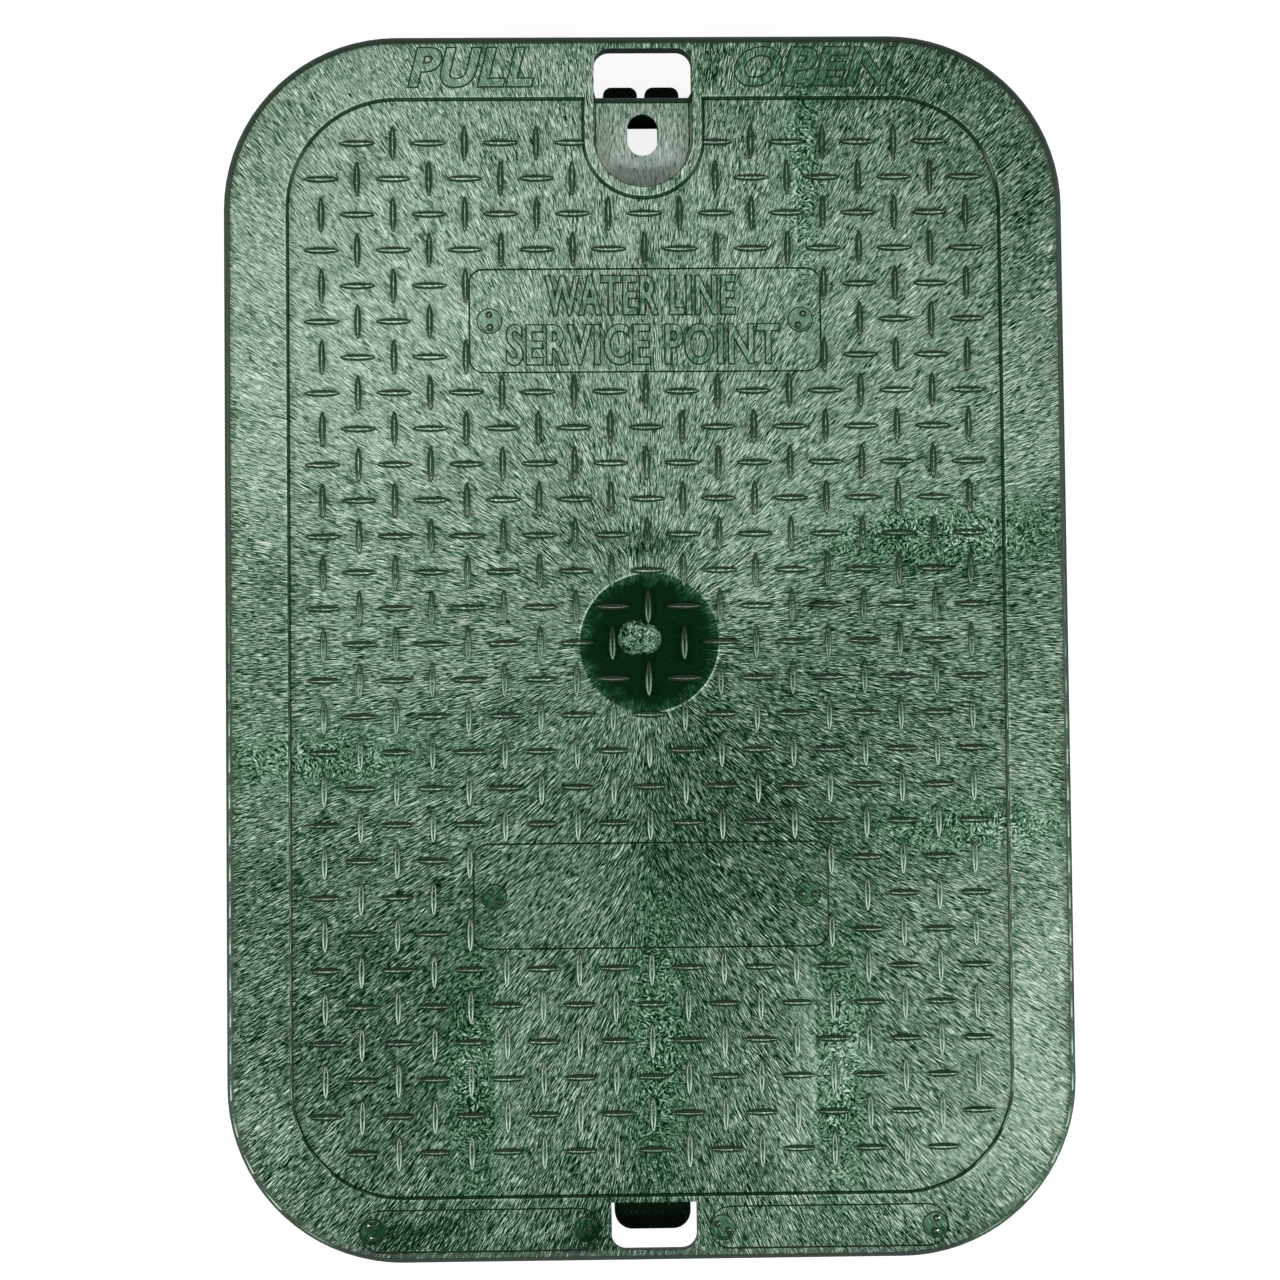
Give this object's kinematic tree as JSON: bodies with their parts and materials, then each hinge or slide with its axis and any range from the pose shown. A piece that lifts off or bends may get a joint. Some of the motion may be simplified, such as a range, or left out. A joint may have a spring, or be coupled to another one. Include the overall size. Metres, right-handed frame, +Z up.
{
  "type": "valve box cover",
  "caption": "Rectangular valve box cover with round corners, a checkered tread field, a lift slot beside a sunk bolt shelf, snap fingers, a rear tongue and a ribbed underside.",
  "frame": {"origin": "under the middle of the cover, on the plane that the skirt stands on", "axes": "+Z up, out of the tread; +Y towards the end with the lift slot; +X to the right seen from above"},
  "size_m": [0.2974, 0.4318, 0.038],
  "materials": {
    "green_plastic": "swirled green foamed plastic"
  },
  "bodies": {
    "root": {"cover": "green_plastic"}
  },
  "joints": []
}
